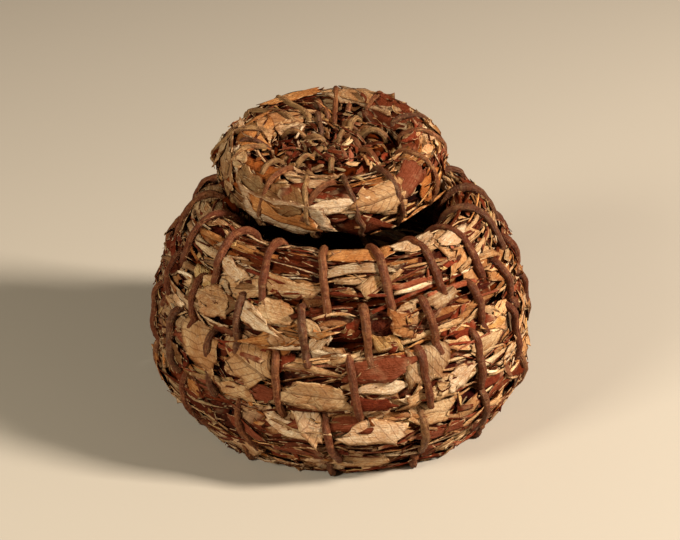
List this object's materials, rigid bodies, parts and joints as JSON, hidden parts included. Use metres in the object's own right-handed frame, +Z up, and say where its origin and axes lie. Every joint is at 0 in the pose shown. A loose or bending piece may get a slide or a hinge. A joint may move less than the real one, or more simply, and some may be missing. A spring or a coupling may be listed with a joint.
{
  "type": "lidded coiled basket",
  "caption": "Round coiled basket of dry leaf bundles sewn with vine, with a wide mouth and a loose disc-shaped coiled lid that lifts off.",
  "frame": {"origin": "middle of the base, on the surface that the basket stands on", "axes": "+Z up along the pot's axis; -Y is the front, towards the viewer; +X to the viewer's right"},
  "size_m": [0.2041, 0.2059, 0.1487],
  "materials": {
    "leaf_bundle": "matte dry leaf, tan, grey-beige and rust scraps",
    "vine": "satin brown vine bark",
    "lid_leaf_bundle": "matte dry leaf, tan, ochre and rust scraps",
    "lid_vine": "satin golden-brown vine bark"
  },
  "bodies": {
    "pot": {"base_coil": "leaf_bundle", "wall_coil": "leaf_bundle", "rim_coil": "leaf_bundle", "base_stitching": "vine", "foot_stitching": "vine", "wall_1_stitching": "vine", "wall_2_stitching": "vine", "wall_3_stitching": "vine", "rim_stitching": "vine"},
    "lid": {"lid_coil": "lid_leaf_bundle", "lid_centre_stitching": "lid_vine", "lid_edge_stitching": "lid_vine"}
  },
  "joints": [
    {"name": "lid_lift", "type": "slide", "parent": "pot", "child": "lid", "axis": [0, 0, 1], "range_m": [0, 0.15]}
  ]
}
